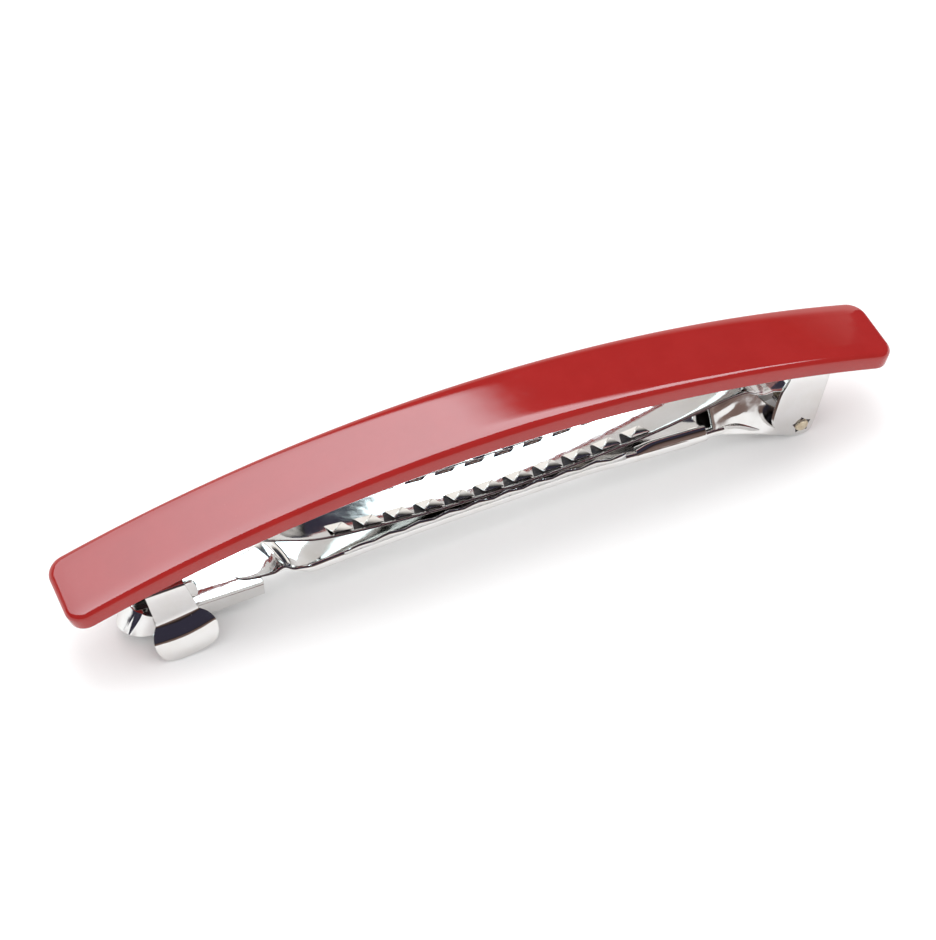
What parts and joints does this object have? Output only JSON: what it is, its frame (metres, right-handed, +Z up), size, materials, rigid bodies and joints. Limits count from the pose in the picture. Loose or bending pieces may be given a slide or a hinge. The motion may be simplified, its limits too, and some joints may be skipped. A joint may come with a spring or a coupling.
{
  "type": "barrette",
  "caption": "Arched gloss barrette bar on a plated clasp with a hinged arm, a toothed sprung strip and pinch-release catch legs.",
  "frame": {"origin": "on the surface the barrette stands on, under the middle of the bar", "axes": "+X along the bar from catch to hinge, +Y across it, away from the front leg, +Z up"},
  "size_m": [0.0956, 0.012, 0.0166],
  "materials": {
    "acetate": "polished solid red acetate",
    "adhesive": "cured clear film",
    "base_plate": "bright nickel plate on pressed steel",
    "hinge_pin": "plated wire, headed over",
    "catch_legs": "bright nickel plate on pressed steel",
    "arm": "bright nickel plate on pressed steel",
    "spring_strip": "bright nickel plate on spring steel"
  },
  "bodies": {
    "bar": {"acetate_bar": "acetate", "adhesive_film": "adhesive", "base_plate": "base_plate", "hinge_pin": "hinge_pin"},
    "arm": {"clasp_arm": "arm"},
    "strip": {"tension_bar": "spring_strip"},
    "front_leg": {"catch_leg_front": "catch_legs"},
    "rear_leg": {"catch_leg_rear": "catch_legs"}
  },
  "joints": [
    {"name": "arm_hinge", "type": "hinge", "parent": "bar", "child": "arm", "pos_m": [0.03676, 0, 0.00177], "axis": [0, -1, 0], "range_deg": [0, 75]},
    {"name": "strip_spring", "type": "hinge", "parent": "bar", "child": "strip", "pos_m": [0.03676, 0, 0.00177], "axis": [0, -1, 0], "range_deg": [0, 11.25]},
    {"name": "front_leg_flex", "type": "hinge", "parent": "bar", "child": "front_leg", "pos_m": [-0.03696, -0.00335, 0.00865], "axis": [-0.9877, 0, -0.1564], "range_deg": [0, 5], "stiffness_Nm_per_rad": 0.3},
    {"name": "rear_leg_flex", "type": "hinge", "parent": "bar", "child": "rear_leg", "pos_m": [-0.03696, 0.00335, 0.00865], "axis": [0.9877, 0, 0.1564], "range_deg": [0, 5], "stiffness_Nm_per_rad": 0.3}
  ],
  "couplings": [
    {"joint": "strip_spring", "follows": "arm_hinge", "ratio": 0.15}
  ]
}
